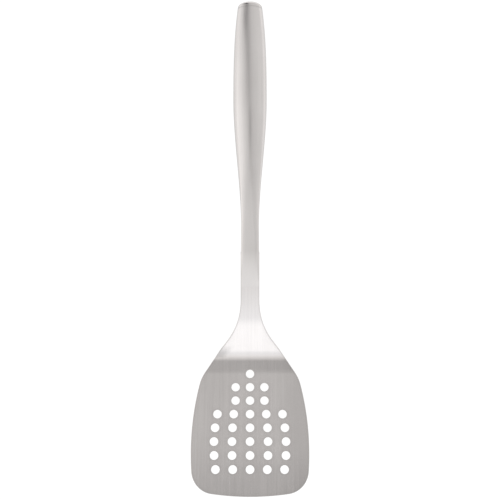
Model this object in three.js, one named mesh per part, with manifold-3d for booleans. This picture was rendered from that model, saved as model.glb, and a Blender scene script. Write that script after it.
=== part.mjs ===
// Kitchen turner in stainless steel: a perforated, cranked sheet blade whose tang is welded
// into a hollow handle of two pressed half shells and a domed end cap.
// Millimetres. The tool lies on a table as it comes to rest, on its heel and its handle:
// X across the blade, Y from the blade's front edge towards the handle's end, Z up.
import * as THREE from 'three';
import { mergeVertices } from 'three/addons/utils/BufferGeometryUtils.js';
import Module from 'manifold-3d';

const wasm = await Module();
wasm.setup();

const { degToRad, lerp, smoothstep } = THREE.MathUtils;

// Drain holes, in rows counted from the front edge backwards
const holeDiameter = 5.8;
const holeRowPitch = 9.2;
const holesPerRow = [5, 5, 5, 5, 5, 3, 3, 1];
const columnReach = 24.6; // outer column to the middle line, where the columns bow out most
const columnBowRadius = 100; // bow of the outer columns along the blade
const columnBowRow = 1.73; // row at the top of that bow, counted from the front row
const columnBowRows = 5; // rows behind these keep the spacing of the last bowed row

// Blade outline
const frontMargin = 17.7; // front row to the front edge
const heelMargin = 1; // back row to the start of the heel
const bladeWidth = 80.6;
const frontRadius = 185;
const cornerRadius = 16.1;
const sideRadius = 182.5;
const widestFromFront = 31.7;
const shoulderLead = 8.4; // the shoulder starts this far in front of the heel
const shoulderRadius = 26.3;
const flareAngle = degToRad(33.6); // slope of the straight flare against the middle line
const flareRadius = 59.4; // fillet from the flare into the neck
const neckWidth = 12.7;

// Side profile of the sheet
const bladeThickness = 1.5;
const neckThickness = 2.2;
const bladeEdge = 0.25; // rounding of the blade's edges
const neckEdge = 0.4; // rounding of the neck's edges
const edgeShare = 0.8; // most of the half thickness that a rounding may take
const leadRadius = 30; // slight first bend of the heel
const leadTurn = degToRad(6);
const stripLength = 4.7; // straight strip between the heel's two bends
const heelRadius = 14; // second bend of the heel
const crankAngle = degToRad(44); // slope of the crank against the blade
const crankLength = 19;
const bendRadius = 36; // bend from the crank into the neck
const neckLength = 45.4;
const neckTurn = degToRad(13); // long bend of the neck towards the handle
const tangLength = 24;

// Hollow handle
const handleAngle = degToRad(20); // slope of the handle's mouth against the blade
const handleTurn = degToRad(16); // arch of the handle over its length
const handleLength = 175;
const mouthWidth = 12.35;
const waistWidth = 12.05;
const waistAt = 16; // from the mouth
const bellyWidth = 22.8;
const bellyHeight = 14.9;
const bellyAt = 104; // from the mouth
const endWidth = 17;
const endHeight = 12;
const endTaper = 2.75; // power of the taper from the belly to the end
const mouthSquareness = 4.5; // superellipse power of the section at the mouth
const bellySquareness = 2; // and where the section has become a plain oval
const ovalAt = 64; // from the mouth to that place
const shellWall = 0.8;
const mouthRise = 0.5; // the mouth's rim above the face of the neck
const mouthCrown = 0.1; // extra room over the middle of the tang, under the curved shell
const domeHeight = 4.5;
const skirtLength = 4;

// Welds and fits
const seamWidth = 1.2; // ground weld between two edges
const filletLength = 24; // ground weld from the mouth's rim onto the neck
const filletToe = 0.1; // thickness left at that weld's thin edge
const weldGap = 0.1; // between a weld and the edge it joins
const fitGap = 0.2; // between the tang or skirt and the shells

const holeSides = 24;
const sliverSize = 0.002; // edges shorter than this are merged after punching

const flatLength = frontMargin + (holesPerRow.length - 1) * holeRowPitch + heelMargin;
const heelTurn = crankAngle - leadTurn;
const heelLength = leadRadius * leadTurn + stripLength + heelRadius * heelTurn;
const bendTurn = crankAngle - handleAngle - neckTurn;
const rampStart = flatLength;
const rampEnd = flatLength + heelLength + crankLength + bendRadius * bendTurn;
const jointAt = rampEnd + neckLength;
const ledge = jointAt - fitGap; // here the neck steps down to the tang
const mouthHeight = neckThickness + 2 * mouthRise;
const tangHalf = mouthHeight / 2 - shellWall - mouthCrown - fitGap; // coined thinner than the neck
const capAt = handleLength - domeHeight;
const shellLength = capAt - seamWidth;

// Runs of the sheet's middle line: straight, or turning evenly over their length
const sheetRuns = [
  { length: flatLength, turn: 0 },
  { length: leadRadius * leadTurn, turn: leadTurn },
  { length: stripLength, turn: 0 },
  { length: heelRadius * heelTurn, turn: heelTurn },
  { length: crankLength, turn: 0 },
  { length: bendRadius * bendTurn, turn: -bendTurn },
  { length: neckLength, turn: -neckTurn },
  { length: tangLength, turn: 0 },
];

const handleRuns = [{ length: handleLength, turn: -handleTurn }];

// Point and slope at a length along such a line, in its YZ plane
function follow(runs, along) {
  let [y, z, slope, left] = [0, 0, 0, along];
  for (const { length, turn } of runs) {
    const part = Math.min(left, length);
    const next = slope + (turn * part) / length;
    const chord = turn === 0 ? part : (2 * length * Math.sin((next - slope) / 2)) / turn;
    y += chord * Math.cos((slope + next) / 2);
    z += chord * Math.sin((slope + next) / 2);
    slope = next;
    left -= part;
  }
  return { y, z, slope };
}

// Right half of the blade's outline as points (length along the sheet, distance from the middle line)
function arc(centre, radius, from, to, steps) {
  const curve = new THREE.EllipseCurve(centre.x, centre.y, radius, radius, from, to, to < from);
  return curve.getPoints(steps);
}

function angleTo(centre, point) {
  return Math.atan2(point.y - centre.y, point.x - centre.x);
}

// Centre of a circle that touches two larger circles from inside, on the outer side
function innerTouch(centreA, radiusA, centreB, radiusB, radius) {
  const a = radiusA - radius;
  const b = radiusB - radius;
  const gap = centreB.clone().sub(centreA);
  const span = gap.length();
  const foot = (a * a - b * b + span * span) / (2 * span);
  const rise = Math.sqrt(a * a - foot * foot);
  gap.divideScalar(span);
  const up = new THREE.Vector2(-gap.y, gap.x).multiplyScalar(gap.x > 0 ? rise : -rise);
  return centreA.clone().addScaledVector(gap, foot).add(up);
}

function halfOutline(tangHalfWidth) {
  const sideCentre = new THREE.Vector2(widestFromFront, bladeWidth / 2 - sideRadius);
  const frontCentre = new THREE.Vector2(frontRadius, 0);
  const corner = innerTouch(sideCentre, sideRadius, frontCentre, frontRadius, cornerRadius);
  const frontEnd = angleTo(frontCentre, corner);
  const sideStart = angleTo(sideCentre, corner);
  const shoulderAt = flatLength - shoulderLead;
  const sideSlope = Math.asin((shoulderAt - widestFromFront) / sideRadius);
  const sideEnd = Math.PI / 2 - sideSlope;
  const flareNormal = Math.PI / 2 - flareAngle;

  const front = arc(frontCentre, frontRadius, Math.PI, frontEnd, 8).slice(1);
  const turn = arc(corner, cornerRadius, frontEnd, sideStart, 12);
  const side = arc(sideCentre, sideRadius, sideStart, sideEnd, 10);
  const outward = new THREE.Vector2(Math.cos(sideEnd), Math.sin(sideEnd));
  const shoulderCentre = side.at(-1).clone().addScaledVector(outward, -shoulderRadius);
  const shoulder = arc(shoulderCentre, shoulderRadius, sideEnd, flareNormal, 6);

  const neckHalf = neckWidth / 2;
  const filletRise = flareRadius * (1 - Math.cos(flareAngle));
  const flareLength = (shoulder.at(-1).y - neckHalf - filletRise) / Math.sin(flareAngle);
  const filletStart = shoulder.at(-1).clone();
  filletStart.x += flareLength * Math.cos(flareAngle);
  filletStart.y = neckHalf + filletRise;
  const filletCentre = new THREE.Vector2(
    filletStart.x + flareRadius * Math.sin(flareAngle),
    neckHalf + flareRadius,
  );
  const flare = new THREE.LineCurve(shoulder.at(-1), filletStart).getPoints(12).slice(1, -1);
  const fillet = arc(filletCentre, flareRadius, flareNormal + Math.PI, 1.5 * Math.PI, 12);

  const neckEnd = new THREE.Vector2(ledge - fitGap, neckHalf);
  const neck = new THREE.LineCurve(fillet.at(-1), neckEnd).getPoints(16).slice(1);
  return [
    ...front,
    ...turn.slice(1),
    ...side.slice(1),
    ...shoulder.slice(1),
    ...flare,
    ...fillet,
    ...neck,
    new THREE.Vector2(ledge, tangHalfWidth),
    new THREE.Vector2(jointAt + tangLength, tangHalfWidth),
  ];
}

// The joint is where the sheet enters the handle's mouth. The handle's own frame starts there.
const joint = follow(sheetRuns, jointAt);

function alongNeck(before) {
  const spot = follow(sheetRuns, jointAt + before);
  const [dy, dz] = [spot.y - joint.y, spot.z - joint.z];
  const [c, s] = [Math.cos(joint.slope), Math.sin(joint.slope)];
  return { y: dy * c + dz * s, z: dz * c - dy * s, slope: spot.slope - joint.slope };
}

// Moves a point of the straight handle onto its arch, or onto the bent neck in front of the mouth
function arched(point) {
  const { y, z, slope } = point.y < 0 ? alongNeck(point.y) : follow(handleRuns, point.y);
  return new THREE.Vector3(point.x, y - point.z * Math.sin(slope), z + point.z * Math.cos(slope));
}

// Closed handle piece from a chain of rings with equal numbers of points, drawn on the straight handle.
// A ring of one point is an apex. A looped chain returns to its first ring, any other has flat ends.
function loft(rings, looped = false) {
  const points = rings.flat().map(arched);
  const starts = [0];
  rings.forEach((ring) => starts.push(starts.at(-1) + ring.length));
  const index = [];
  const bands = looped ? rings.length : rings.length - 1;
  for (let i = 0; i < bands; i++) {
    const j = (i + 1) % rings.length;
    const count = Math.max(rings[i].length, rings[j].length);
    for (let k = 0; k < count; k++) {
      const next = (k + 1) % count;
      const a = starts[i] + (rings[i].length > 1 ? k : 0);
      const b = starts[i] + (rings[i].length > 1 ? next : 0);
      const c = starts[j] + (rings[j].length > 1 ? next : 0);
      const d = starts[j] + (rings[j].length > 1 ? k : 0);
      if (a !== b) index.push(a, b, c);
      if (c !== d) index.push(a, c, d);
    }
  }
  if (!looped) {
    index.push(...endFaces(rings[0], starts[0], true));
    index.push(...endFaces(rings.at(-1), starts.at(-2), false));
  }
  const geometry = new THREE.BufferGeometry().setFromPoints(points);
  geometry.setIndex(index);
  return facingOut(geometry);
}

// Triangles of a flat end, drawn on the plane that the ring lies nearest to
function endFaces(ring, start, reversed) {
  if (ring.length < 3) return [];
  const box = new THREE.Box3().setFromPoints(ring);
  const size = box.getSize(new THREE.Vector3());
  const flat = ring.map((p) => new THREE.Vector2(size.x < size.y ? p.y : p.x, p.z));
  const faces = THREE.ShapeUtils.triangulateShape(flat, []);
  const turn = THREE.ShapeUtils.area(flat) > 0 ? reversed : !reversed;
  return faces.flatMap(([a, b, c]) => (turn ? [a, c, b] : [a, b, c]).map((k) => start + k));
}

// Turns a closed body's faces outwards if its signed volume is negative
function facingOut(geometry) {
  const at = geometry.attributes.position;
  const index = geometry.index.array;
  const [a, b, c] = [new THREE.Vector3(), new THREE.Vector3(), new THREE.Vector3()];
  let volume = 0;
  for (let i = 0; i < index.length; i += 3) {
    a.fromBufferAttribute(at, index[i]);
    b.fromBufferAttribute(at, index[i + 1]);
    c.fromBufferAttribute(at, index[i + 2]);
    volume += a.dot(b.cross(c));
  }
  if (volume < 0) {
    for (let i = 0; i < index.length; i += 3) {
      [index[i], index[i + 1]] = [index[i + 1], index[i]];
    }
  }
  geometry.computeVertexNormals();
  return geometry;
}

function solidOf(geometry) {
  const bare = geometry.clone();
  bare.deleteAttribute('normal');
  bare.deleteAttribute('uv');
  const merged = mergeVertices(bare, 1e-4);
  const vertProperties = merged.attributes.position.array;
  const triVerts = new Uint32Array(merged.index.array);
  return new wasm.Manifold(new wasm.Mesh({ numProp: 3, vertProperties, triVerts }));
}

function geometryOf(solid) {
  const { vertProperties, triVerts } = solid.getMesh();
  const geometry = new THREE.BufferGeometry();
  geometry.setAttribute('position', new THREE.BufferAttribute(new Float32Array(vertProperties), 3));
  geometry.setIndex(new THREE.BufferAttribute(new Uint32Array(triVerts), 1));
  geometry.computeVertexNormals();
  return geometry;
}

// Sheet with rounded edges, cut to the outline and bent along the middle line
function bentSheet(half) {
  const mirrored = half.map((p) => new THREE.Vector2(p.x, -p.y)).reverse();
  const outline = [...half, ...mirrored];
  const inward = outline.map((p, i) => {
    const before = outline.at(i - 1);
    const after = outline[(i + 1) % outline.length];
    const tangent = after.clone().sub(before).normalize();
    return new THREE.Vector2(tangent.y, -tangent.x);
  });
  const place = (p, lift) => {
    const { y, z, slope } = follow(sheetRuns, p.x);
    return new THREE.Vector3(p.y, y - lift * Math.sin(slope), z + lift * Math.cos(slope));
  };
  const layer = (quarter, side) =>
    outline.map((p, i) => {
      const ramp = smoothstep(p.x, rampStart, rampEnd);
      const half = p.x < ledge ? lerp(bladeThickness, neckThickness, ramp) / 2 : tangHalf;
      const edge = Math.min(lerp(bladeEdge, neckEdge, ramp), edgeShare * half);
      const inset = edge * (1 - Math.sin(quarter));
      const lift = half - edge * (1 - Math.cos(quarter));
      return place(p.clone().addScaledVector(inward[i], inset), side * lift);
    });
  const quarters = [0, Math.PI / 4, Math.PI / 2];
  const layers = [
    ...quarters.map((quarter) => layer(quarter, 1)),
    ...quarters.reverse().map((quarter) => layer(quarter, -1)),
  ];
  return ribbonEnds(layers, half.length);
}

// Closes a stack of outline layers with strips that run straight across the sheet
function ribbonEnds(layers, count) {
  const points = layers.flat();
  const around = 2 * count;
  const index = [];
  for (let i = 0; i + 1 < layers.length; i++) {
    for (let k = 0; k < around; k++) {
      const next = (k + 1) % around;
      const [a, b] = [i * around + k, i * around + next];
      const [c, d] = [a + around, b + around];
      index.push(a, c, b, b, c, d);
    }
  }
  for (const [base, top] of [[0, true], [(layers.length - 1) * around, false]]) {
    for (let k = 0; k + 1 < count; k++) {
      const [a, b] = [base + k, base + k + 1];
      const [c, d] = [base + around - 1 - k, base + around - 2 - k];
      if (top) index.push(a, b, c, b, d, c);
      else index.push(a, c, b, b, c, d);
    }
  }
  const geometry = new THREE.BufferGeometry().setFromPoints(points);
  geometry.setIndex(index);
  return facingOut(geometry);
}

// Outer column's distance from the middle line in a row: an arc that bows out with the sides
function columnsAt(row) {
  const along = (Math.min(row, columnBowRows) - columnBowRow) * holeRowPitch;
  return columnReach - (columnBowRadius - Math.sqrt(columnBowRadius ** 2 - along ** 2));
}

function punch(sheet) {
  const radius = holeDiameter / 2;
  const tool = new THREE.CylinderGeometry(radius, radius, 4 * bladeThickness, holeSides);
  tool.rotateX(Math.PI / 2);
  const widest = Math.max(...holesPerRow);
  let solid = solidOf(sheet);
  holesPerRow.forEach((count, row) => {
    const pitch = (2 * columnsAt(row)) / (widest - 1);
    for (let k = 0; k < count; k++) {
      const x = (k - (count - 1) / 2) * pitch;
      const hole = tool.clone().translate(x, frontMargin + row * holeRowPitch, 0);
      solid = solid.subtract(solidOf(hole));
    }
  });
  return geometryOf(solid.simplify(sliverSize));
}

// Half sizes and squareness of the handle's outer section at a distance from the mouth
function section(at) {
  const grow = smoothstep(at, waistAt, bellyAt);
  const swell = smoothstep(at, 0, bellyAt);
  const fall = Math.max(0, (at - bellyAt) / (capAt - bellyAt)) ** endTaper;
  const throat = lerp(mouthWidth, waistWidth, smoothstep(at, 0, waistAt));
  return {
    halfWidth: (lerp(throat, bellyWidth, grow) - (bellyWidth - endWidth) * fall) / 2,
    halfHeight: (lerp(mouthHeight, bellyHeight, swell) - (bellyHeight - endHeight) * fall) / 2,
    power: lerp(mouthSquareness, bellySquareness, smoothstep(at, 0, ovalAt)),
  };
}

function inset({ halfWidth, halfHeight, power }, by) {
  return { halfWidth: halfWidth - by, halfHeight: halfHeight - by, power };
}

// Half width of a superellipse at a height, and its half height at a distance from the middle
function widthAt({ halfWidth, halfHeight, power }, height) {
  return halfWidth * (1 - Math.abs(height / halfHeight) ** power) ** (1 / power);
}

function heightAt({ halfWidth, halfHeight, power }, across) {
  return halfHeight * (1 - Math.abs(across / halfWidth) ** power) ** (1 / power);
}

function ovalPoint({ halfWidth, halfHeight, power }, angle, at) {
  const [c, s] = [Math.cos(angle), Math.sin(angle)];
  const x = halfWidth * Math.sign(c) * Math.abs(c) ** (2 / power);
  const z = halfHeight * Math.sign(s) * Math.abs(s) ** (2 / power);
  return new THREE.Vector3(x, at, z);
}

function oval(shape, at, sides = 32) {
  const step = (2 * Math.PI) / sides;
  return Array.from({ length: sides }, (_, k) => ovalPoint(shape, (k + 0.5) * step, at));
}

// Upper half of an oval above the seam, from the right edge over the top to the left edge
function halfOval(shape, at, steps = 16) {
  const start = Math.asin((seamWidth / 2 / shape.halfHeight) ** (shape.power / 2));
  const angles = Array.from({ length: steps + 1 }, (_, k) => lerp(start, Math.PI - start, k / steps));
  return angles.map((angle) => ovalPoint(shape, angle, at));
}

const handleStations = Array.from({ length: 27 }, (_, k) => (k * shellLength) / 26);

// Pressed half shell: the upper one, or the lower one by mirroring
function halfShell(side) {
  const rings = handleStations.map((at) => {
    const outer = halfOval(section(at), at);
    const inner = halfOval(inset(section(at), shellWall), at).reverse();
    return [...outer, ...inner];
  });
  rings.flat().forEach((p) => (p.z *= side));
  return loft(rings);
}

// Ground weld bead that fills the seam between the shells, from wall to wall
function seamWeld(side) {
  const reach = seamWidth / 2 - weldGap;
  const rings = handleStations.map((at) => {
    const outer = [-reach, 0, reach].map((z) => new THREE.Vector3(widthAt(section(at), z), at, z));
    const wall = inset(section(at), shellWall);
    const inner = [reach, 0, -reach].map((z) => new THREE.Vector3(widthAt(wall, z), at, z));
    return [...outer, ...inner];
  });
  rings.flat().forEach((p) => (p.x *= side));
  return loft(rings);
}

// Weld ring between the shells' wide end and the cap
function capWeld() {
  const [low, high] = [shellLength + weldGap, capAt - weldGap];
  const rings = [
    oval(section(low), low),
    oval(section(high), high),
    oval(inset(section(high), shellWall), high),
    oval(inset(section(low), shellWall), low),
  ];
  return loft(rings, true);
}

// Domed cap with a skirt that locates it inside the shells
function endCap() {
  const rim = section(capAt);
  const skirt = inset(rim, shellWall + fitGap);
  const bore = inset(skirt, shellWall);
  const dome = (shape, height, rise) => {
    const shrink = Math.cos(rise);
    const ring = { ...shape, halfWidth: shape.halfWidth * shrink, halfHeight: shape.halfHeight * shrink };
    return oval(ring, capAt + height * Math.sin(rise));
  };
  const rises = [0, 12, 25, 40, 55, 70, 81].map(degToRad);
  const innerRise = domeHeight - shellWall;
  const rings = [
    [new THREE.Vector3(0, capAt + domeHeight, 0)],
    ...rises.map((rise) => dome(rim, domeHeight, rise)).reverse(),
    oval(skirt, capAt),
    oval(skirt, capAt - skirtLength),
    oval(bore, capAt - skirtLength),
    ...rises.map((rise) => dome(bore, innerRise, rise)),
    [new THREE.Vector3(0, capAt + innerRise, 0)],
  ];
  return loft(rings);
}

// Weld over the joint, ground to a soft slope from the mouth's rim down to the face of the neck
function neckWeld(side) {
  const rim = section(0);
  const low = neckThickness / 2 + weldGap;
  const reach = widthAt(rim, low + filletToe + weldGap);
  const [across, along] = [12, 10];
  const shares = Array.from({ length: along + 1 }, (_, i) => i / along);
  const rings = Array.from({ length: across + 1 }, (_, k) => {
    const x = reach * Math.sin(lerp(-Math.PI / 2, Math.PI / 2, k / across));
    const rise = heightAt(rim, x) - low;
    const point = (t, z) => new THREE.Vector3(x, -weldGap - t * filletLength, z);
    const curve = shares.map((t) => point(t, low + lerp(rise, filletToe, smoothstep(t, 0, 1))));
    const foot = shares.toReversed().map((t) => point(t, low));
    return [...curve, ...foot];
  });
  rings.flat().forEach((p) => (p.z *= side));
  return loft(rings);
}

function steel(name, geometry, color, roughness) {
  const material = new THREE.MeshStandardMaterial({ color, roughness, metalness: 1 });
  const mesh = new THREE.Mesh(geometry, material);
  mesh.name = name;
  return mesh;
}

// The tang is as wide as the shells' mouth lets it be at its own thickness
const mouthBore = inset(section(0), shellWall);
const tangHalfWidth = widthAt(mouthBore, tangHalf + fitGap) - fitGap;
const blade = steel('blade', punch(bentSheet(halfOutline(tangHalfWidth))), 0xb2aeab, 0.36);

const handle = new THREE.Group();
handle.add(
  steel('handle_front_shell', halfShell(1), 0xc6c3c0, 0.32),
  steel('handle_back_shell', halfShell(-1), 0xc6c3c0, 0.32),
  steel('handle_end_cap', endCap(), 0xc3bfbd, 0.32),
  steel('seam_weld_left', seamWeld(-1), 0xbebab7, 0.36),
  steel('seam_weld_right', seamWeld(1), 0xbebab7, 0.36),
  steel('end_cap_weld', capWeld(), 0xbebab7, 0.36),
  steel('neck_weld_front', neckWeld(1), 0xbebab7, 0.38),
  steel('neck_weld_back', neckWeld(-1), 0xbebab7, 0.38),
);
handle.position.set(0, joint.y, joint.z);
handle.rotation.x = joint.slope;

const tool = new THREE.Group();
tool.add(blade, handle);

// Tips the tool until its heel and its handle touch the table together
function lowest(object) {
  return new THREE.Box3().setFromObject(object, true).min.z;
}

let [flatter, steeper] = [0, Math.PI / 4];
for (let i = 0; i < 30; i++) {
  const tip = (flatter + steeper) / 2;
  tool.rotation.x = -tip;
  tool.updateMatrixWorld(true);
  if (lowest(handle) > lowest(blade)) flatter = tip;
  else steeper = tip;
}
const extent = new THREE.Box3().setFromObject(tool, true);
const middle = extent.getCenter(new THREE.Vector3());
tool.position.set(-middle.x, -middle.y, -extent.min.z);

const turner = new THREE.Group();
turner.add(tool);

export default turner;
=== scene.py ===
import math

import bmesh
import bpy
from mathutils import Matrix, Vector, kdtree


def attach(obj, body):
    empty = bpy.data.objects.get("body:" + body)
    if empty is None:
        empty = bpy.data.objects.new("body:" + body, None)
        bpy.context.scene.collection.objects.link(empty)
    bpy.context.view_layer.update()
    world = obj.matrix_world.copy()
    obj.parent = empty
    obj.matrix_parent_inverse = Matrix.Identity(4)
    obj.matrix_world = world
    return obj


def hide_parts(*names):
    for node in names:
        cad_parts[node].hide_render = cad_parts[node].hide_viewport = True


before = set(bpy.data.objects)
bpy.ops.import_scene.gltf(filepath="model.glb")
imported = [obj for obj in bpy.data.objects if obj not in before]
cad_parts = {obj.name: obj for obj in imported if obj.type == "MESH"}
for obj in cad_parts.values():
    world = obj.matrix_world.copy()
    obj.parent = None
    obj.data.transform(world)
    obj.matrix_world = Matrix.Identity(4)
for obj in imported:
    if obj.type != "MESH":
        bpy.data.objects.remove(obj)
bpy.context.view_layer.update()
print("frame loaded with", len(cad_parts), "nodes")

millimetre = 0.001  # pieces are drawn in millimetres and placed in metres


class Wire:  # one socket of a node tree that can be used in sums
    def __init__(self, tree, socket=None):
        self.tree = tree
        self.socket = socket

    def node(self, kind, settings=None, values=None):
        made = self.tree.nodes.new(kind)
        for name, value in (settings or {}).items():
            setattr(made, name, value)
        for key, value in (values or {}).items():
            for one in value if isinstance(value, list) else [value]:
                if isinstance(one, Wire):
                    self.tree.links.new(one.socket, made.inputs[key])
                else:
                    made.inputs[key].default_value = one
        return Wire(self.tree, made.outputs[0] if made.outputs else None)

    def out(self, key):  # another output of the same node
        return Wire(self.tree, self.socket.node.outputs[key])

    def sums(self, operation, *values):
        return self.node("ShaderNodeMath", {"operation": operation}, dict(enumerate(values)))

    def step(self, low, high, start=0.0, end=1.0):  # soft step between two values
        spans = {0: self, 1: low, 2: high, 3: start, 4: end}
        return self.node("ShaderNodeMapRange", {"interpolation_type": "SMOOTHSTEP"}, spans)

    def __add__(self, other):
        return self.sums("ADD", self, other)

    def __radd__(self, other):
        return self.sums("ADD", other, self)

    def __sub__(self, other):
        return self.sums("SUBTRACT", self, other)

    def __rsub__(self, other):
        return self.sums("SUBTRACT", other, self)

    def __mul__(self, other):
        return self.sums("MULTIPLY", self, other)

    def __rmul__(self, other):
        return self.sums("MULTIPLY", other, self)

    def __truediv__(self, other):
        return self.sums("DIVIDE", self, other)

    def __rtruediv__(self, other):
        return self.sums("DIVIDE", other, self)

    def __pow__(self, other):
        return self.sums("POWER", self, other)

    def __gt__(self, other):
        return self.sums("GREATER_THAN", self, other)

    def __abs__(self):
        return self.sums("ABSOLUTE", self)


def blendOf(share, low, high):  # two numbers or wires mixed by a share
    return low + share * (high - low)


def softStep(value, low, high):
    t = min(1.0, max(0.0, (value - low) / (high - low)))
    return t * t * (3 - 2 * t)


def softFall(value, low, high):
    return 1 - softStep(value, low, high)


def startTree(name, inputs):  # a geometry tree with one named input for each size
    tree = bpy.data.node_groups.new(name, "GeometryNodeTree")
    tree.interface.new_socket("Geometry", in_out="INPUT", socket_type="NodeSocketGeometry")
    tree.interface.new_socket("Geometry", in_out="OUTPUT", socket_type="NodeSocketGeometry")
    kinds = {int: "NodeSocketInt", float: "NodeSocketFloat"}
    for label, value in inputs.items():
        kind = kinds.get(type(value)) or "NodeSocket" + type(value).__name__
        tree.interface.new_socket(label, in_out="INPUT", socket_type=kind)
    given = Wire(tree).node("NodeGroupInput")
    return tree, given


def endTree(geometry, material):
    loose = geometry.node("GeometryNodeRealizeInstances", {}, {"Geometry": geometry})
    coated = loose.node("GeometryNodeSetMaterial", {}, {"Geometry": loose, "Material": material})
    coated.node("NodeGroupOutput", {}, {"Geometry": coated})


def plainMesh(piece, tree, inputs):  # runs a tree on a piece and keeps the result as its own mesh
    modifier = piece.modifiers.new(tree.name, "NODES")
    modifier.node_group = tree
    for item in tree.interface.items_tree:
        if item.in_out == "INPUT" and item.name in inputs:
            modifier[item.identifier] = inputs[item.name]
    evaluated = piece.evaluated_get(bpy.context.evaluated_depsgraph_get())
    mesh = bpy.data.meshes.new_from_object(evaluated)
    piece.modifiers.clear()
    piece.data = mesh
    return mesh


def newPiece(name, mesh):
    piece = bpy.data.objects.new(name, mesh)
    bpy.context.scene.collection.objects.link(piece)
    return piece


def settle(piece, node):  # rides on the CAD body in the place of its node
    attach(piece, "root")
    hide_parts(node)
    print(piece.name, "made with", len(piece.data.polygons), "faces")


# steel finishes, sizes in metres

bladeFinish = {
    "dark": (0.655, 0.622, 0.606), "light": (0.828, 0.788, 0.770),
    "lineWidth": 0.00022, "lineLength": 0.045, "lineTone": 0.5,
    "roughness": 0.21, "lineRoughness": 0.12, "rubRoughness": 0.04,
    "bump": 0.10, "edgeShade": 0.20, "dullShade": 0.13,
    "paintedSideShade": -0.90, "halfWidth": 0.0403,
}

handleFinish = {
    "dark": (0.605, 0.578, 0.562), "light": (0.745, 0.712, 0.698),
    "lineWidth": 0.00016, "lineLength": 0.03, "lineTone": 0.35,
    "roughness": 0.18, "lineRoughness": 0.06, "rubRoughness": 0.03,
    "bump": 0.04, "edgeShade": 0.36, "dullShade": 0.0,
    "paintedSideShade": 0.0, "halfWidth": 0.0114,
}

weldFinish = {
    "dark": (0.610, 0.583, 0.567), "light": (0.755, 0.722, 0.707),
    "lineWidth": 0.0002, "lineLength": 0.02, "lineTone": 0.4,
    "roughness": 0.21, "lineRoughness": 0.08, "rubRoughness": 0.05,
    "bump": 0.06, "edgeShade": 0.36, "dullShade": 0.0,
    "paintedSideShade": 0.0, "halfWidth": 0.0114,
}

brushing = {
    "coarseWidth": 5, "coarseLength": 1.6, "bandWidth": 40, "bandLength": 3,  # times those of the fine lines
    "coarseRoughness": 0.5, "coarseHeight": 0.8, "bumpDepth": 0.0001,
    "rubWidth": 0.018, "rubLength": 0.026, "rubTone": 0.4,  # cloudy patches where the tool is wiped
    "scratches": [(0.009, 1.0, 0.5, 5.2), (0.012, 1.0, -0.35, 9.4)],  # length, detail, skew and seed
    "scratchWidth": 0.00012, "scratchLimits": (0.205, 0.26),
    "scratchTone": 0.08, "scratchRoughness": 0.05, "scratchHeight": 0.6,
}


def brushedSteel(name, look):
    material = bpy.data.materials.new(name)
    material.use_nodes = True
    tree = material.node_tree
    tree.nodes.clear()
    bench = Wire(tree)
    spot = bench.node("ShaderNodeAttribute", {"attribute_name": "laid"}).out("Vector")

    def lines(width, length, detail, skew=0.0, seed=0.0):  # brushing lines, long along the piece
        placed = {
            "Vector": spot, "Location": (seed * width, 0, seed * width),
            "Rotation": (0, 0, skew), "Scale": (width, length, width),
        }
        stretched = bench.node("ShaderNodeMapping", {"vector_type": "TEXTURE"}, placed)
        noise = {"Vector": stretched, "Scale": 1.0, "Detail": detail, "Roughness": 0.6}
        return bench.node("ShaderNodeTexNoise", {}, noise) - 0.5

    width, length = look["lineWidth"], look["lineLength"]
    fine = lines(width, length, 2.0)
    coarse = lines(width * brushing["coarseWidth"], length * brushing["coarseLength"], 2.0, seed=3.1)
    bands = lines(width * brushing["bandWidth"], length * brushing["bandLength"], 1.0, seed=7.7)
    rubbed = lines(brushing["rubWidth"], brushing["rubLength"], 2.0, seed=1.3)
    marks = [lines(brushing["scratchWidth"], *kind) for kind in brushing["scratches"]]
    oneWay, otherWay = [mark.step(*brushing["scratchLimits"]) for mark in marks]
    scratches = oneWay + otherWay
    edge = bench.node("ShaderNodeAttribute", {"attribute_name": "edgeShade"}).out("Fac")
    shadeAndDull = bench.node("ShaderNodeAttribute", {"attribute_name": "dullShade"}).out("Fac")
    across = bench.node("ShaderNodeSeparateXYZ", {}, {0: spot})
    side = (across.sums("MAXIMUM", across, 0.0) / look["halfWidth"]) ** 3.0  # painted shade, darker towards one margin

    tone = 0.5 + look["lineTone"] * (fine + coarse + bands) + rubbed * brushing["rubTone"]
    tone = tone + scratches * brushing["scratchTone"] + side * look["paintedSideShade"]
    colours = {0: tone, 6: (*look["dark"], 1), 7: (*look["light"], 1)}
    colour = bench.node("ShaderNodeMix", {"data_type": "RGBA"}, colours).out(2)
    rough = look["roughness"] + fine * look["lineRoughness"] + rubbed * look["rubRoughness"]
    rough = rough + coarse * (look["lineRoughness"] * brushing["coarseRoughness"])
    rough = rough + scratches * brushing["scratchRoughness"]
    # painted shade on the rims, steep flanks, the heel and towards the front, and the neck's own duller tone
    darker = 1 - edge * look["edgeShade"] - shadeAndDull * look["dullShade"]
    colour = bench.node("ShaderNodeVectorMath", {"operation": "SCALE"}, {0: colour, "Scale": darker})
    height = fine + coarse * brushing["coarseHeight"] - scratches * brushing["scratchHeight"]
    bump = {"Strength": look["bump"], "Distance": brushing["bumpDepth"], "Height": height}
    steel = {
        "Base Color": colour, "Metallic": 1.0, "Roughness": rough,
        "Normal": bench.node("ShaderNodeBump", {}, bump),
    }
    shader = bench.node("ShaderNodeBsdfPrincipled", {}, steel)
    bench.node("ShaderNodeOutputMaterial", {}, {"Surface": shader})
    return material


bladeSteel = brushedSteel("brushedBladeSteel", bladeFinish)
handleSteel = brushedSteel("satinHandleSteel", handleFinish)
weldSteel = brushedSteel("groundWeldSteel", weldFinish)
print("steel finishes ready")


# blade, crank and neck: one sheet. Tool frame in millimetres, Y from the front edge along the blade

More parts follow.
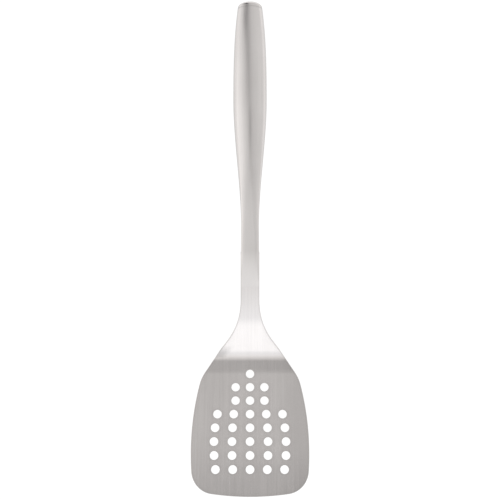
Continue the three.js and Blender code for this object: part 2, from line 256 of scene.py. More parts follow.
bladeSheet = {
    "frontMargin": 17.7, "rowPitch": 9.2, "rowCount": 8, "heelMargin": 1.0,
    "width": 80.6, "frontRadius": 185.0, "cornerRadius": 16.1, "sideRadius": 182.5,
    "widestAt": 31.7, "shoulderLead": 8.4, "shoulderRadius": 26.3,
    "flareAngle": 33.6, "flareRadius": 59.4, "neckWidth": 12.7,
    "bladeThickness": 1.5, "neckThickness": 2.2, "tangThickness": 1.0,
    "bladeEdge": 0.25, "neckEdge": 0.4, "edgeLimit": 0.4,  # radii, and their largest share of the thickness
    "leadRadius": 30.0, "leadTurn": 6.0, "stripLength": 4.7, "heelRadius": 14.0,
    "crankAngle": 44.0, "crankLength": 19.0, "bendRadius": 36.0,
    "neckLength": 45.4, "neckTurn": 13.0, "tangLength": 24.0,
    "tangHalfWidth": 4.3, "tangStep": 0.3, "handleAngle": 20.0,
    "frontSteps": 16, "cornerSteps": 28, "sideSteps": 36, "shoulderSteps": 12,
    "slantSteps": 40, "filletSteps": 36, "neckSteps": 24, "edgeSteps": 5, "columns": 40,
}

# painted shade on the rims, the heel's strip, the heel bend's left end and towards the front, and the neck's
# duller tone
sheetShade = {
    "rimFrom": 0.2, "rimReach": 0.6, "holeRim": 0.5,
    "stripRise": (-1.5, 1.0), "stripFall": (0.0, 2.0),  # from the flat's end to past the strip's end
    "paintedCurlShade": 1.9, "curlRise": (2.0, 4.0), "curlFall": (7.0, 14.0), "curlReach": (2.5, 7.5),
    "neck": 0.75, "front": 36.0, "samples": 4,
}

drainHoles = {
    "Rows": bladeSheet["rowCount"], "Row Pitch": bladeSheet["rowPitch"],
    "Front Margin": bladeSheet["frontMargin"], "Columns": 5, "Full Rows": 5.0, "Column Reach": 24.6,
    "Bow Radius": 100.0, "Bow Row": 1.73, "Bow Rows": 5.0, "Merge Within": 0.001,
}
holePunch = {
    "radius": 2.9, "rimRadius": 0.12, "rimTurn": math.radians(75), "flare": 0.3, "sides": 48, "rimSteps": 4,
}
neckWeld = {"length": 24.0, "sunk": 0.25, "toe": 0.01, "neckHalf": 1.1, "across": 48, "along": 24}
restPose = {"tilt": 17.19816, "along": -169.5009, "above": -23.872}  # it lies on its heel and its handle

holesLength = (bladeSheet["rowCount"] - 1) * bladeSheet["rowPitch"]
flatLength = bladeSheet["frontMargin"] + holesLength + bladeSheet["heelMargin"]
crankAngle = math.radians(bladeSheet["crankAngle"])
leadTurn = math.radians(bladeSheet["leadTurn"])
neckTurn = math.radians(bladeSheet["neckTurn"])
bendTurn = crankAngle - neckTurn - math.radians(bladeSheet["handleAngle"])
crankBends = [
    (bladeSheet["leadRadius"] * leadTurn, leadTurn),
    (bladeSheet["stripLength"], 0.0),
    (bladeSheet["heelRadius"] * (crankAngle - leadTurn), crankAngle - leadTurn),
    (bladeSheet["crankLength"], 0.0),
    (bladeSheet["bendRadius"] * bendTurn, -bendTurn),
]
rampEnd = flatLength + sum(length for length, turn in crankBends)
jointAt = rampEnd + bladeSheet["neckLength"]
sheetBends = [
    (flatLength, 0.0),
    *crankBends,
    (bladeSheet["neckLength"], -neckTurn),
    (bladeSheet["tangLength"], 0.0),
]


def sheetLine(along):  # point and slope of the sheet's middle line
    y, z, slope = 0.0, 0.0, 0.0
    for length, turn in sheetBends:
        part = min(along, length)
        after = slope + turn * part / length
        chord = 2 * length * math.sin((after - slope) / 2) / turn if turn else part
        y += chord * math.cos((slope + after) / 2)
        z += chord * math.sin((slope + after) / 2)
        slope = after
        along -= part
    return y, z, slope


def arcPoints(centre, radius, start, end, steps):
    angles = [start + (end - start) * k / steps for k in range(steps + 1)]
    return [centre + radius * Vector((math.cos(a), math.sin(a))) for a in angles]


def angleFrom(centre, point):
    return math.atan2(point.y - centre.y, point.x - centre.x)


def sheetOutline():  # right half: length along the sheet, distance from the middle line
    half = bladeSheet["neckWidth"] / 2
    sideRadius, frontRadius = bladeSheet["sideRadius"], bladeSheet["frontRadius"]
    cornerRadius, flareRadius = bladeSheet["cornerRadius"], bladeSheet["flareRadius"]
    sideCentre = Vector((bladeSheet["widestAt"], bladeSheet["width"] / 2 - sideRadius))
    frontCentre = Vector((frontRadius, 0.0))
    gap = frontCentre - sideCentre  # the corner's circle touches the side's and the front's from inside
    reach, toFront = sideRadius - cornerRadius, frontRadius - cornerRadius
    foot = (reach ** 2 - toFront ** 2 + gap.length_squared) / (2 * gap.length)
    up = Vector((-gap.y, gap.x)).normalized()
    corner = sideCentre + gap.normalized() * foot + up * math.sqrt(reach ** 2 - foot ** 2)
    frontEnd, sideStart = angleFrom(frontCentre, corner), angleFrom(sideCentre, corner)
    slope = math.asin((flatLength - bladeSheet["shoulderLead"] - bladeSheet["widestAt"]) / sideRadius)
    sideEnd = math.pi / 2 - slope
    flare = math.radians(bladeSheet["flareAngle"])
    flareNormal = math.pi / 2 - flare

    front = arcPoints(frontCentre, frontRadius, math.pi, frontEnd, bladeSheet["frontSteps"])[1:]
    turn = arcPoints(corner, cornerRadius, frontEnd, sideStart, bladeSheet["cornerSteps"])[1:]
    side = arcPoints(sideCentre, sideRadius, sideStart, sideEnd, bladeSheet["sideSteps"])[1:]
    shoulderRadius, shoulderSteps = bladeSheet["shoulderRadius"], bladeSheet["shoulderSteps"]
    shoulderCentre = side[-1] - shoulderRadius * Vector((math.cos(sideEnd), math.sin(sideEnd)))
    shoulder = arcPoints(shoulderCentre, shoulderRadius, sideEnd, flareNormal, shoulderSteps)[1:]
    rise = flareRadius * (1 - math.cos(flare))
    drop = shoulder[-1].y - half - rise
    filletStart = Vector((shoulder[-1].x + drop / math.tan(flare), half + rise))
    slantSteps, neckSteps = bladeSheet["slantSteps"], bladeSheet["neckSteps"]
    slant = [shoulder[-1].lerp(filletStart, k / slantSteps) for k in range(1, slantSteps)]
    filletCentre = Vector((filletStart.x + flareRadius * math.sin(flare), half + flareRadius))
    filletAngles = (flareNormal + math.pi, 1.5 * math.pi)
    fillet = arcPoints(filletCentre, flareRadius, *filletAngles, bladeSheet["filletSteps"])
    ledge = Vector((jointAt - bladeSheet["tangStep"], half))
    neck = [fillet[-1].lerp(ledge, k / neckSteps) for k in range(1, neckSteps + 1)]
    tang = [Vector((jointAt, bladeSheet["tangHalfWidth"]))]
    tang.append(Vector((jointAt + bladeSheet["tangLength"], bladeSheet["tangHalfWidth"])))
    return front + turn + side + shoulder + slant + fillet + neck + tang


def sheetPoint(along, across, lift):
    y, z, slope = sheetLine(along)
    return Vector((across, y - lift * math.sin(slope), z + lift * math.cos(slope)))


def sheetBlank(outline):  # the bent sheet with rounded edges, before the holes are punched
    last, columns, steps = len(outline) - 1, bladeSheet["columns"], bladeSheet["edgeSteps"]
    shares = [math.cos(math.pi * j / columns) for j in range(columns + 1)]  # closer towards the edges
    inward = []
    for i, point in enumerate(outline):
        before = outline[i - 1] if i else Vector((point.x, -point.y))
        after = outline[i + 1] if i < last else Vector((point.x, -point.y))
        tangent = (after - before).normalized()
        inward.append(Vector((tangent.y, -tangent.x)))
    rightSide = [(i, 0) for i in range(last)]
    backRow = [(last, j) for j in range(columns)]
    leftSide = [(i, columns) for i in range(last, 0, -1)]
    frontRow = [(0, j) for j in range(columns, 0, -1)]
    around = rightSide + backRow + leftSide + frontRow
    everywhere = [(i, j) for i in range(last + 1) for j in range(columns + 1)]

    points, layers = [], []
    quarters = [math.pi / 2 * k / steps for k in range(steps + 1)]
    for side, quarter in [(1, q) for q in quarters] + [(-1, q) for q in reversed(quarters)]:
        layer = {}
        for i, j in everywhere if quarter == 0 else around:
            ramp = softStep(outline[i].x, flatLength, rampEnd)
            thick = blendOf(ramp, bladeSheet["bladeThickness"], bladeSheet["neckThickness"])
            thick = thick if outline[i].x < jointAt else bladeSheet["tangThickness"]
            edge = blendOf(ramp, bladeSheet["bladeEdge"], bladeSheet["neckEdge"])
            edge = min(edge, bladeSheet["edgeLimit"] * thick)
            spot = outline[i] + inward[i] * edge * (1 - math.sin(quarter))
            lift = side * (thick / 2 - edge * (1 - math.cos(quarter)))
            layer[i, j] = len(points)
            points.append(sheetPoint(spot.x, spot.y * shares[j], lift))
        layers.append(layer)

    faces = []
    for i in range(last):
        for j in range(columns):
            ring = [(i, j), (i + 1, j), (i + 1, j + 1), (i, j + 1)]
            faces.append([layers[0][key] for key in ring])
            faces.append([layers[-1][key] for key in reversed(ring)])
    for upper, lower in zip(layers, layers[1:]):
        for key, after in zip(around, around[1:] + around[:1]):
            faces.append([upper[key], lower[key], lower[after], upper[after]])
    mesh = bpy.data.meshes.new("bladeSheet")
    mesh.from_pydata(points, [], faces)
    return mesh


def punchMesh():  # a round punch that leaves a small radius on both rims
    radius, rim, sides = holePunch["radius"], holePunch["rimRadius"], holePunch["sides"]
    half, flare = bladeSheet["bladeThickness"] / 2, holePunch["flare"]
    profile = []
    for k in range(holePunch["rimSteps"] + 1):
        turn = holePunch["rimTurn"] * k / holePunch["rimSteps"]
        profile.append((radius + rim * (1 - math.cos(turn)), half - rim + rim * math.sin(turn)))
    profile.append((profile[-1][0] + flare, profile[-1][1] + flare / math.tan(holePunch["rimTurn"])))
    profile = [(r, -z) for r, z in reversed(profile)] + profile
    angles = [2 * math.pi * k / sides for k in range(sides)]
    points = [(r * math.cos(a), r * math.sin(a), z) for r, z in profile for a in angles]
    faces = []
    for i in range(len(profile) - 1):
        for k in range(sides):
            after = (k + 1) % sides
            low, high = i * sides, (i + 1) * sides
            faces.append([low + k, low + after, high + after, high + k])
    faces.append(list(reversed(range(sides))))
    faces.append([(len(profile) - 1) * sides + k for k in range(sides)])
    mesh = bpy.data.meshes.new("holePunch")
    mesh.from_pydata(points, [], faces)
    return mesh


def drainHoleTree(inputs):  # rows of holes, bowed as the blade's sides are, cut out of the sheet
    tree, given = startTree("drainHoles", inputs)
    size = given.out
    count = size("Rows") * size("Columns")
    points = given.node("GeometryNodePoints", {}, {"Count": count})
    index = given.node("GeometryNodeInputIndex")
    rowsBefore = index / size("Columns")
    row = rowsBefore.sums("FLOOR", rowsBefore)
    middle = (size("Columns") - 1) / 2
    column = index - row * size("Columns") - middle
    fewer = (row > size("Full Rows") - 0.5) + (row > size("Rows") - 1.5)  # two rows of three, then one hole
    spare = abs(column) > middle - fewer + 0.5
    along = (row.sums("MINIMUM", row, size("Bow Rows")) - size("Bow Row")) * size("Row Pitch")
    chord = size("Bow Radius") ** 2 - along ** 2
    outer = size("Column Reach") - size("Bow Radius") + chord.sums("SQRT", chord)
    across = column * outer / middle
    place = {"X": across, "Y": size("Front Margin") + row * size("Row Pitch")}
    spot = given.node("ShaderNodeCombineXYZ", {}, place)
    placed = given.node("GeometryNodeSetPosition", {}, {"Geometry": points, "Position": spot})
    unwanted = {"Geometry": placed, "Selection": spare}
    kept = given.node("GeometryNodeDeleteGeometry", {"domain": "POINT"}, unwanted)
    punch = given.node("GeometryNodeObjectInfo", {}, {"Object": size("Punch")}).out("Geometry")
    punches = given.node("GeometryNodeInstanceOnPoints", {}, {"Points": kept, "Instance": punch})
    punches = given.node("GeometryNodeRealizeInstances", {}, {"Geometry": punches})
    cut = {"Mesh 1": size("Geometry"), "Mesh 2": punches}
    sheet = given.node("GeometryNodeMeshBoolean", {"operation": "DIFFERENCE", "solver": "EXACT"}, cut)
    merged = {"Geometry": sheet, "Distance": size("Merge Within")}
    closed = given.node("GeometryNodeMergeByDistance", {}, merged)
    corners = given.node("GeometryNodeInputMeshFaceNeighbors").out("Vertex Count")
    rimFaces = {"Mesh": closed, "Selection": corners > 4}  # the many-sided faces round each hole
    plain = given.node("GeometryNodeTriangulate", {"ngon_method": "BEAUTY"}, rimFaces)
    endTree(plain, size("Material"))
    return tree


def toolPlace():  # from the tool's own frame in millimetres to the table in metres
    turn = Matrix.Rotation(-math.radians(restPose["tilt"]), 4, "X")
    shift = Matrix.Translation((0, restPose["along"], restPose["above"]))
    return Matrix.Scale(millimetre, 4) @ turn @ shift


def holeCentres():
    s = drainHoles
    found = []
    for row in range(s["Rows"]):
        count = s["Columns"] - 2 * (row >= s["Full Rows"]) - 2 * (row == s["Rows"] - 1)
        along = (min(row, s["Bow Rows"]) - s["Bow Row"]) * s["Row Pitch"]
        bow = s["Bow Radius"] - math.sqrt(s["Bow Radius"] ** 2 - along ** 2)
        pitch = (s["Column Reach"] - bow) * 2 / (s["Columns"] - 1)
        y = s["Front Margin"] + row * s["Row Pitch"]
        found += [Vector(((k - (count - 1) / 2) * pitch, y, 0)) for k in range(count)]
    return found


def nearestIn(points):  # finder of the nearest point in a list
    finder = kdtree.KDTree(len(points))
    for k, point in enumerate(points):
        finder.insert(point, k)
    finder.balance()
    return finder


def layFlat(mesh, places):  # keeps where each point of the bent steel lay before bending, in metres
    laid = mesh.attributes.new("laid", "FLOAT_VECTOR", "POINT")
    for place, value in zip(places, laid.data):
        value.vector = place * millimetre


def rimFade(away):  # how much of a rim's painted shade is left at a distance from it
    return math.exp(-max(0.0, away - sheetShade["rimFrom"]) / sheetShade["rimReach"])


def shadeSheet(mesh, outline):  # painted shade on the rims, the heel's strip, the heel bend's left end and the front, and a duller tone on the neck
    samples = sheetShade["samples"]  # for each millimetre of the sheet's middle line
    edges = nearestIn([sheetPoint(p.x, side * p.y, 0) for p in outline for side in (1, -1)])
    middle = nearestIn([sheetPoint(k / samples, 0, 0) for k in range(int(samples * jointAt))])
    centres = holeCentres()
    stripEnd = flatLength + bladeSheet["leadRadius"] * leadTurn + bladeSheet["stripLength"]
    edge = mesh.attributes.new("edgeShade", "FLOAT", "POINT")
    shadeAndDull = mesh.attributes.new("dullShade", "FLOAT", "POINT")
    flat = []
    for vertex, edgeValue, shadeAndDullValue in zip(mesh.vertices, edge.data, shadeAndDull.data):
        spot = vertex.co
        outside = edges.find(spot)[2]
        # painted shade along the sheet's rims, and weaker round the holes
        edgeValue.value = rimFade(outside)
        if spot.y < flatLength:
            away = min((spot.xy - centre.xy).length for centre in centres) - holePunch["radius"]
            edgeValue.value = max(edgeValue.value, sheetShade["holeRim"] * rimFade(away))
        along = middle.find(Vector((0, spot.y, spot.z)))[1] / samples
        y, z, slope = sheetLine(along)
        along += (spot.y - y) * math.cos(slope) + (spot.z - z) * math.sin(slope)
        flat.append(Vector((spot.x, along - jointAt, 0)))
        past = along - stripEnd
        # painted shade on the heel's strip
        strip = softStep(along - flatLength, *sheetShade["stripRise"])
        strip *= softFall(past, *sheetShade["stripFall"])
        paintedCurlShade = softStep(past, *sheetShade["curlRise"]) * softFall(past, *sheetShade["curlFall"])
        paintedCurlShade *= softFall(outside, *sheetShade["curlReach"])
        paintedCurlShade *= sheetShade["paintedCurlShade"] * (spot.x < 0)  # painted shade where the heel's bend would turn up, at its left end only
        # the neck's own duller tone, blending into the weld's steel
        neck = sheetShade["neck"] * softStep(along, rampEnd, jointAt - neckWeld["length"])
        # painted shade, darker towards the front edge
        front = softFall(along, 0, sheetShade["front"])
        shadeAndDullValue.value = max(strip, paintedCurlShade, neck, front)
    layFlat(mesh, flat)


def makeBlade():
    outline = sheetOutline()
    blade = newPiece("bladeSheet", sheetBlank(outline))
    punch = newPiece("holePunch", punchMesh())
    inputs = {**drainHoles, "Punch": punch, "Material": bladeSteel}
    plainMesh(blade, drainHoleTree(inputs), inputs)
    bpy.data.objects.remove(punch)
    blade.data.shade_smooth()
    smooth = blade.modifiers.new("flatFacesStayFlat", "WEIGHTED_NORMAL")
    smooth.mode = "FACE_AREA"
    evaluated = blade.evaluated_get(bpy.context.evaluated_depsgraph_get())
    mesh = bpy.data.meshes.new_from_object(evaluated)
    blade.modifiers.clear()
    blade.data = mesh
    shadeSheet(mesh, outline)
    mesh.transform(toolPlace())
    settle(blade, "blade")


makeBlade()


# hollow handle: two pressed half shells. Handle frame in millimetres, Y from the mouth to the end

handleShell = {
    "Half": 1.0, "Steps Around": 65, "Steps Along": 140, "Shell Length": 169.3, "Cap At": 170.5,
    "Handle Length": 175.0, "Arch": math.radians(16.0),
    "Mouth Width": 12.35, "Waist Width": 12.05, "Waist At": 16.0, "Mouth Height": 3.2,
    "Belly Width": 22.8, "Belly Height": 14.9, "Belly At": 104.0,
    "End Width": 17.0, "End Height": 12.0, "End Taper": 2.75,
    "Mouth Squareness": 4.5, "Belly Squareness": 2.0, "Oval At": 64.0,
    "Wall": 0.8, "Seam Width": 1.2, "Merge Within": 0.0005,
}
shellCrease = math.radians(50)  # sharper turns stay crisp
flankShade = {"steep": 0.1, "gentle": 0.72}  # how much a face looks up or down, for the painted shade on the flanks


def handleShellTree(inputs):  # a grid laid round the handle's oval sections, then given its wall
    tree, given = startTree("handleShell", inputs)
    size = given.out
    flat = {
        "Size X": 1.0, "Size Y": 1.0,
        "Vertices X": size("Steps Around"), "Vertices Y": size("Steps Along"),
    }
    grid = given.node("GeometryNodeMeshGrid", {}, flat)
    corner = given.node("ShaderNodeSeparateXYZ", {}, {0: given.node("GeometryNodeInputPosition")})
    at = (corner.out("Y") + 0.5) * size("Shell Length")
    swell = at.step(0.0, size("Belly At"))
    grow = at.step(size("Waist At"), size("Belly At"))
    past = (at - size("Belly At")) / (size("Cap At") - size("Belly At"))
    fall = past.sums("MAXIMUM", past, 0.0) ** size("End Taper")
    throat = blendOf(at.step(0.0, size("Waist At")), size("Mouth Width"), size("Waist Width"))
    wide = blendOf(grow, throat, size("Belly Width")) - (size("Belly Width") - size("End Width")) * fall
    tall = blendOf(swell, size("Mouth Height"), size("Belly Height"))
    tall = tall - (size("Belly Height") - size("End Height")) * fall
    power = blendOf(at.step(0.0, size("Oval At")), size("Mouth Squareness"), size("Belly Squareness"))
    lift = (size("Seam Width") / tall) ** (power / 2)
    start = lift.sums("ARCSINE", lift)  # the shell ends half a seam above the middle
    angle = math.pi - start - (corner.out("X") + 0.5) * (math.pi - 2 * start)
    cosine = angle.sums("COSINE", angle)
    x = cosine.sums("SIGN", cosine) * abs(cosine) ** (2 / power) * wide / 2
    z = angle.sums("SINE", angle) ** (2 / power) * tall / 2
    bend = size("Arch") / size("Handle Length")
    lean = at * bend
    lower, further = lean.sums("COSINE", lean), lean.sums("SINE", lean)
    y = further / bend + z * size("Half") * further
    high = (lower - 1) / bend + z * size("Half") * lower
    spot = given.node("ShaderNodeCombineXYZ", {}, {"X": x * size("Half"), "Y": y, "Z": high})
    outside = given.node("GeometryNodeSetPosition", {}, {"Geometry": grid, "Position": spot})
    wall = {"Mesh": outside, "Offset Scale": 0 - size("Wall"), "Individual": False}
    pushed = given.node("GeometryNodeExtrudeMesh", {}, wall)
    inside = given.node("GeometryNodeFlipFaces", {}, {"Mesh": pushed})
    both = given.node("GeometryNodeJoinGeometry", {}, {"Geometry": [outside, inside]})
    merged = {"Geometry": both, "Distance": size("Merge Within")}
    closed = given.node("GeometryNodeMergeByDistance", {}, merged)
    endTree(closed, size("Material"))
    return tree


def handleSection(at):  # half width, half height and squareness of the oval at a distance from the mouth
    s = handleShell
    swell = softStep(at, 0, s["Belly At"])
    grow = softStep(at, s["Waist At"], s["Belly At"])
    fall = max(0.0, (at - s["Belly At"]) / (s["Cap At"] - s["Belly At"])) ** s["End Taper"]
    throat = blendOf(softStep(at, 0, s["Waist At"]), s["Mouth Width"], s["Waist Width"])
    wide = blendOf(grow, throat, s["Belly Width"]) - (s["Belly Width"] - s["End Width"]) * fall
    tall = blendOf(swell, s["Mouth Height"], s["Belly Height"])
    tall -= (s["Belly Height"] - s["End Height"]) * fall
    power = blendOf(softStep(at, 0, s["Oval At"]), s["Mouth Squareness"], s["Belly Squareness"])
    return wide / 2, tall / 2, power


def arched(point):  # from the straight handle onto its arch, or onto the bent neck in front of the mouth
    if point.y < 0:
        y, z, slope = sheetLine(jointAt)
        neckFrame = Matrix.Rotation(-slope, 3, "X")
        return neckFrame @ (sheetPoint(jointAt + point.y, point.x, point.z) - Vector((0, y, z)))
    bend = handleShell["Arch"] / handleShell["Handle Length"]
    lean = point.y * bend
    y = math.sin(lean) / bend + point.z * math.sin(lean)
    return Vector((point.x, y, (math.cos(lean) - 1) / bend + point.z * math.cos(lean)))


def straightened(point):  # from the arch back onto the straight handle
    radius = handleShell["Handle Length"] / handleShell["Arch"]
    along = radius * math.atan2(point.y, point.z + radius)
    return Vector((point.x, along, math.hypot(point.y, point.z + radius) - radius))


def handlePlace():
    y, z, slope = sheetLine(jointAt)
    return toolPlace() @ Matrix.Translation((0, y, z)) @ Matrix.Rotation(slope, 4, "X")


def shadeFlanks(mesh):  # painted shade: the steep sides a little darker
    shade = mesh.attributes.new("edgeShade", "FLOAT", "POINT")
    for vertex, value in zip(mesh.vertices, shade.data):
        value.value = softFall(abs(vertex.normal.z), flankShade["steep"], flankShade["gentle"])


def makeShells():
    tree = None
    halves = [
        ("handleFrontShell", "handle_front_shell", 1.0),
        ("handleBackShell", "handle_back_shell", -1.0),
    ]
    for name, node, half in halves:
        shell = newPiece(name, bpy.data.meshes.new(name))
        inputs = {**handleShell, "Half": half, "Material": handleSteel}
        tree = tree or handleShellTree(inputs)
        mesh = plainMesh(shell, tree, inputs)
        mesh.shade_smooth()
        mesh.set_sharp_from_angle(angle=shellCrease)
        shadeFlanks(mesh)
        layFlat(mesh, [straightened(vertex.co) for vertex in mesh.vertices])
        mesh.transform(handlePlace())
        settle(shell, node)


makeShells()


# end cap and welds, lofted through rings in the handle frame

endCap = {
    "rise": 3.75, "lean": math.radians(3.5), "wall": 0.8, "skirt": 4.0, "fit": 0.3, "sides": 96, "steps": 16,
}
seamWeld = {"wall": handleShell["Wall"], "stations": 140, "across": 8, "crown": 0.015}
capWeld = {
    "from": handleShell["Shell Length"], "to": handleShell["Cap At"],
    "wall": handleShell["Wall"], "sides": 96, "across": 6, "crown": 0.015,
}
loftFinish = {"mergeWithin": 0.0005, "crease": math.radians(40)}


def loftMesh(name, rings, looped=False):  # closed skin through rings of points, or of one end point
    points = [arched(point) for ring in rings for point in ring]
    starts = [sum(len(ring) for ring in rings[:k]) for k in range(len(rings))]
    faces = []
    for i in range(len(rings) if looped else len(rings) - 1):
        j = (i + 1) % len(rings)
        one, two = len(rings[i]), len(rings[j])
        for k in range(max(one, two)):
            after = (k + 1) % max(one, two)
            corners = [starts[i] + k % one, starts[i] + after % one]
            corners += [starts[j] + after % two, starts[j] + k % two]
            faces.append(list(dict.fromkeys(corners)))
    if not looped:
        for i in (0, len(rings) - 1):
            if len(rings[i]) > 2:
                faces.append([starts[i] + k for k in range(len(rings[i]))])
    mesh = bpy.data.meshes.new(name)
    mesh.from_pydata(points, [], faces)
    return mesh


def finishLoft(name, mesh, node, steel):
    tidy = bmesh.new()
    tidy.from_mesh(mesh)
    bmesh.ops.remove_doubles(tidy, verts=tidy.verts, dist=loftFinish["mergeWithin"])
    bmesh.ops.recalc_face_normals(tidy, faces=tidy.faces)
    tidy.to_mesh(mesh)
    tidy.free()
    mesh.materials.append(steel)
    mesh.shade_smooth()
    mesh.set_sharp_from_angle(angle=loftFinish["crease"])
    shadeFlanks(mesh)
    layFlat(mesh, [straightened(vertex.co) for vertex in mesh.vertices])
    mesh.transform(handlePlace())
    settle(newPiece(name, mesh), node)


def ovalRing(section, at, sides, trim=0.0, shrink=1.0):
    wide, tall, power = section
    ring = []
    for k in range(sides):
        angle = 2 * math.pi * (k + 0.5) / sides
        c, s = math.cos(angle), math.sin(angle)
        x = math.copysign(abs(c) ** (2 / power), c) * (wide - trim) * shrink
        z = math.copysign(abs(s) ** (2 / power), s) * (tall - trim) * shrink
        ring.append(Vector((x, at, z)))
    return ring


def widthAt(section, height, trim=0.0):  # half width of an oval at a height
    wide, tall, power = section
    return (wide - trim) * (1 - abs(height / (tall - trim)) ** power) ** (1 / power)


def heightAt(section, across):
    wide, tall, power = section
    return tall * (1 - min(1.0, abs(across / wide)) ** power) ** (1 / power)


def makeEndCap():
    at, sides = handleShell["Cap At"], endCap["sides"]
    rim = handleSection(at)
    lean = endCap["lean"]  # the dome carries on the taper of the handle
    turns = [lean + (math.pi / 2 - lean) * k / endCap["steps"] for k in range(endCap["steps"])]
    shares = [math.cos(turn) / math.cos(lean) for turn in turns]
    rises = [(math.sin(turn) - math.sin(lean)) / (1 - math.sin(lean)) for turn in turns]
    dome = list(zip(shares, rises))  # from the rim to just below the top
    trim = endCap["wall"] + endCap["fit"]
    hollow = endCap["rise"] - endCap["wall"]
    rings = [[Vector((0, at + endCap["rise"], 0))]]
    rings += [ovalRing(rim, at + endCap["rise"] * up, sides, 0, share) for share, up in reversed(dome)]
    rings += [ovalRing(rim, at, sides, trim), ovalRing(rim, at - endCap["skirt"], sides, trim)]
    rings += [ovalRing(rim, at - endCap["skirt"], sides, trim + endCap["wall"])]
    rings += [ovalRing(rim, at + hollow * up, sides, trim + endCap["wall"], share) for share, up in dome]
    rings += [[Vector((0, at + hollow, 0))]]
    mesh = loftMesh("handleEndCap", rings)
    finishLoft("handleEndCap", mesh, "handle_end_cap", handleSteel)


def makeSeamWelds():  # ground flush with the shells, with the faintest crown
    across, half = seamWeld["across"], handleShell["Seam Width"] / 2
    sides = [("seamWeldLeft", "seam_weld_left", -1), ("seamWeldRight", "seam_weld_right", 1)]
    for name, node, side in sides:
        rings = []
        for i in range(seamWeld["stations"]):
            at = handleShell["Shell Length"] * i / (seamWeld["stations"] - 1)
            section = handleSection(at)
            outer, inner = [], []
            for k in range(across + 1):
                height = half * (2 * k / across - 1)
                crown = seamWeld["crown"] * (1 - (height / half) ** 2)
                outer.append(Vector((side * (widthAt(section, height) + crown), at, height)))
                inner.append(Vector((side * widthAt(section, height, seamWeld["wall"]), at, height)))
            rings.append(outer + inner[::-1])
        finishLoft(name, loftMesh(name, rings), node, weldSteel)


def makeCapWeld():
    start, end, across = capWeld["from"], capWeld["to"], capWeld["across"]
    rings = []
    for k in range(across + 1):
        share = k / across
        at = start + (end - start) * share
        crown = capWeld["crown"] * 4 * share * (1 - share)  # highest in the middle
        rings.append(ovalRing(handleSection(at), at, capWeld["sides"], -crown))
    for at in (end, start):
        rings.append(ovalRing(handleSection(at), at, capWeld["sides"], capWeld["wall"]))
    mesh = loftMesh("endCapWeld", rings, True)
    finishLoft("endCapWeld", mesh, "end_cap_weld", weldSteel)


def makeNeckWelds():  # blended by grinding from the mouth's rim down to the neck
    rim, low = handleSection(0), neckWeld["neckHalf"]
    reach = widthAt(rim, low + neckWeld["toe"])
    faces = [("neckWeldFront", "neck_weld_front", 1), ("neckWeldBack", "neck_weld_back", -1)]
    for name, node, side in faces:
        rings = []
        for k in range(neckWeld["across"] + 1):
            x = reach * math.sin(math.pi * (k / neckWeld["across"] - 0.5))
            rise = heightAt(rim, x) - low - neckWeld["toe"]
            ring = []
            for i in range(neckWeld["along"] + 1):
                share = i / neckWeld["along"]
                z = low + neckWeld["toe"] + rise * softFall(share, 0, 1)
                ring.append(Vector((x * side, -share * neckWeld["length"], z * side)))
            foot = low - neckWeld["sunk"]
            rings.append(ring + [Vector((p.x, p.y, foot * side)) for p in reversed(ring)])
        finishLoft(name, loftMesh(name, rings), node, weldSteel)


makeEndCap()
makeSeamWelds()
makeCapWeld()
makeNeckWelds()


# table, light and camera

table = {"halfSide": 6.0, "height": -0.0003, "colour": (0.25, 0.25, 0.25, 1), "roughness": 0.9, "glow": 0.86}

# strengths of the soft lights, and where each one rises or fades
studio = {
    "zenith": 0.635, "horizon": 1.05, "horizonFade": (0.03, 0.10),
    "lean": 0.5, "leanFrom": 0.25,  # the rig stands a little turned to the tool
    "left": 0.68, "leftAhead": (-0.3, 0.1, 1.0, 0.75), "leftBehind": (0.5, 0.8, 1.0, 0.7),
    "right": 0.42, "rightEase": 0.6,
    "front": 0.18, "frontRise": (0.0, 0.12),  # rising towards the blade's side, first overhead
    "ahead": 0.245, "aheadRise": (0.10, 0.42),
    "low": 0.27, "lowRise": (0.55, 0.9),  # and then low down
    "frontRight": 0.25, "frontRightRise": (0.1, 0.5),
    "cool": 0.03, "coolRise": (0.1, 0.7),
    "gap": -0.14, "gapAt": -0.225, "gapAlong": (0.16, 0.04), "gapAcross": (0.15, 0.06),  # between the lights
    "wings": -0.55, "wingsRise": (0.15, 0.4), "wingsAcross": (0.12, 0.45),  # and at their sides
    "back": -0.03, "backRise": (0.5, 0.75),  # dimmer parts of the dome behind the handle
    "post": -0.11, "postAcross": (0.36, 0.02), "postRise": (0.3, 0.6),
    "patch": -0.28, "patchAt": (-0.42, 0.675), "patchAcross": (0.24, 0.06), "patchAlong": (0.05, 0.01),
    "corner": -0.42, "cornerRise": (0.72, 0.82), "cornerAcross": (0.08, 0.25),
}
photoCamera = {
    "height": 0.55951, "along": -0.00381, "focal": 796.0, "frame": 500,  # focal length and frame in pixels
    "sensor": 36, "clip": 0.01,
}


def paleTable():
    side, height = table["halfSide"], table["height"]
    mesh = bpy.data.meshes.new("paleTable")
    corners = [(-side, -side, height), (side, -side, height), (side, side, height), (-side, side, height)]
    mesh.from_pydata(corners, [], [(0, 1, 2, 3)])
    material = bpy.data.materials.new("paleTable")
    material.use_nodes = True
    material.node_tree.nodes.clear()
    bench = Wire(material.node_tree)
    pale = {
        "Base Color": table["colour"], "Roughness": table["roughness"], "Specular IOR Level": 0.0,
        "Emission Color": (1, 1, 1, 1), "Emission Strength": table["glow"],
    }
    shader = bench.node("ShaderNodeBsdfPrincipled", {}, pale)
    bench.node("ShaderNodeOutputMaterial", {}, {"Surface": shader})
    mesh.materials.append(material)
    newPiece("paleTable", mesh)


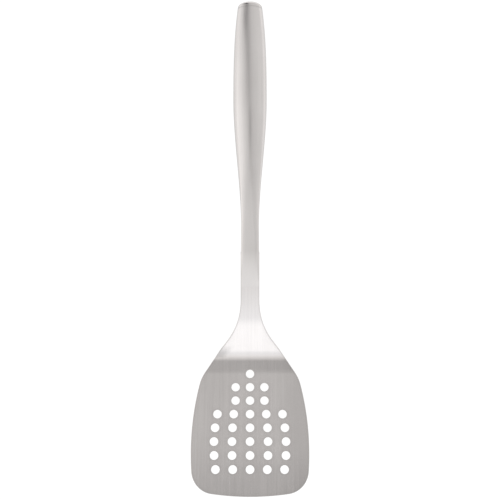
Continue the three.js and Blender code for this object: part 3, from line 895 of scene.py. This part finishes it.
def softStudio():  # an even dome, brighter low on the left, on the right and beyond the blade
    world = bpy.data.worlds.new("softStudio")
    world.use_nodes = True
    world.node_tree.nodes.clear()
    bench = Wire(world.node_tree)
    s = studio
    way = bench.node("ShaderNodeSeparateXYZ", {}, {0: bench.node("ShaderNodeTexCoord").out("Generated")})
    x, behind = way.out("X"), way.out("Y")
    ahead = 0 - behind
    side = x + s["lean"] * (behind.sums("MAXIMUM", behind, 0.0) - s["leanFrom"])
    leftward, rightward = side.sums("MAXIMUM", 0 - side, 0.0), side.sums("MAXIMUM", side, 0.0)

    level = s["zenith"] + s["left"] * leftward * ahead.step(*s["leftAhead"]) * behind.step(*s["leftBehind"])
    level = level + s["right"] * rightward / (1 + s["rightEase"] * rightward)
    level = level + s["front"] * ahead.step(*s["frontRise"])
    level = level + s["ahead"] * ahead.step(*s["aheadRise"])
    level = level + s["low"] * ahead.step(*s["lowRise"])
    level = level + s["frontRight"] * x * ahead.step(*s["frontRightRise"])
    level = level + s["gap"] * abs(ahead - s["gapAt"]).step(*s["gapAlong"]) * abs(x).step(*s["gapAcross"])
    level = level + s["wings"] * ahead.step(*s["wingsRise"]) * abs(x).step(*s["wingsAcross"])
    level = level + s["back"] * behind.step(*s["backRise"])
    level = level + s["post"] * abs(side).step(*s["postAcross"]) * behind.step(*s["postRise"])
    patchX, patchY = s["patchAt"]
    patch = abs(behind - patchY).step(*s["patchAlong"]) * abs(x - patchX).step(*s["patchAcross"])
    level = level + s["patch"] * patch
    level = level + s["corner"] * behind.step(*s["cornerRise"]) * (0 - x).step(*s["cornerAcross"])

    above = way.out("Z").step(*s["horizonFade"])
    level = blendOf(above, s["horizon"], level)
    cool = s["cool"] * ahead.step(*s["coolRise"]) * above
    colour = bench.node("ShaderNodeCombineXYZ", {}, {0: level - cool, 1: level, 2: level + cool})
    light = bench.node("ShaderNodeBackground", {}, {"Color": colour, "Strength": 1.0})
    bench.node("ShaderNodeOutputWorld", {}, {"Surface": light})
    bpy.context.scene.world = world


def placeCamera():  # straight above, the handle's end up
    camera = bpy.data.objects.new("photoCamera", bpy.data.cameras.new("photoCamera"))
    bpy.context.scene.collection.objects.link(camera)
    camera.data.sensor_width = photoCamera["sensor"]
    camera.data.lens = photoCamera["focal"] / photoCamera["frame"] * photoCamera["sensor"]
    camera.data.clip_start = photoCamera["clip"]
    camera.location = (0, photoCamera["along"], photoCamera["height"])
    bpy.context.scene.camera = camera


paleTable()
softStudio()
placeCamera()
bpy.context.scene.view_settings.view_transform = "Standard"
print("table, light and camera set")
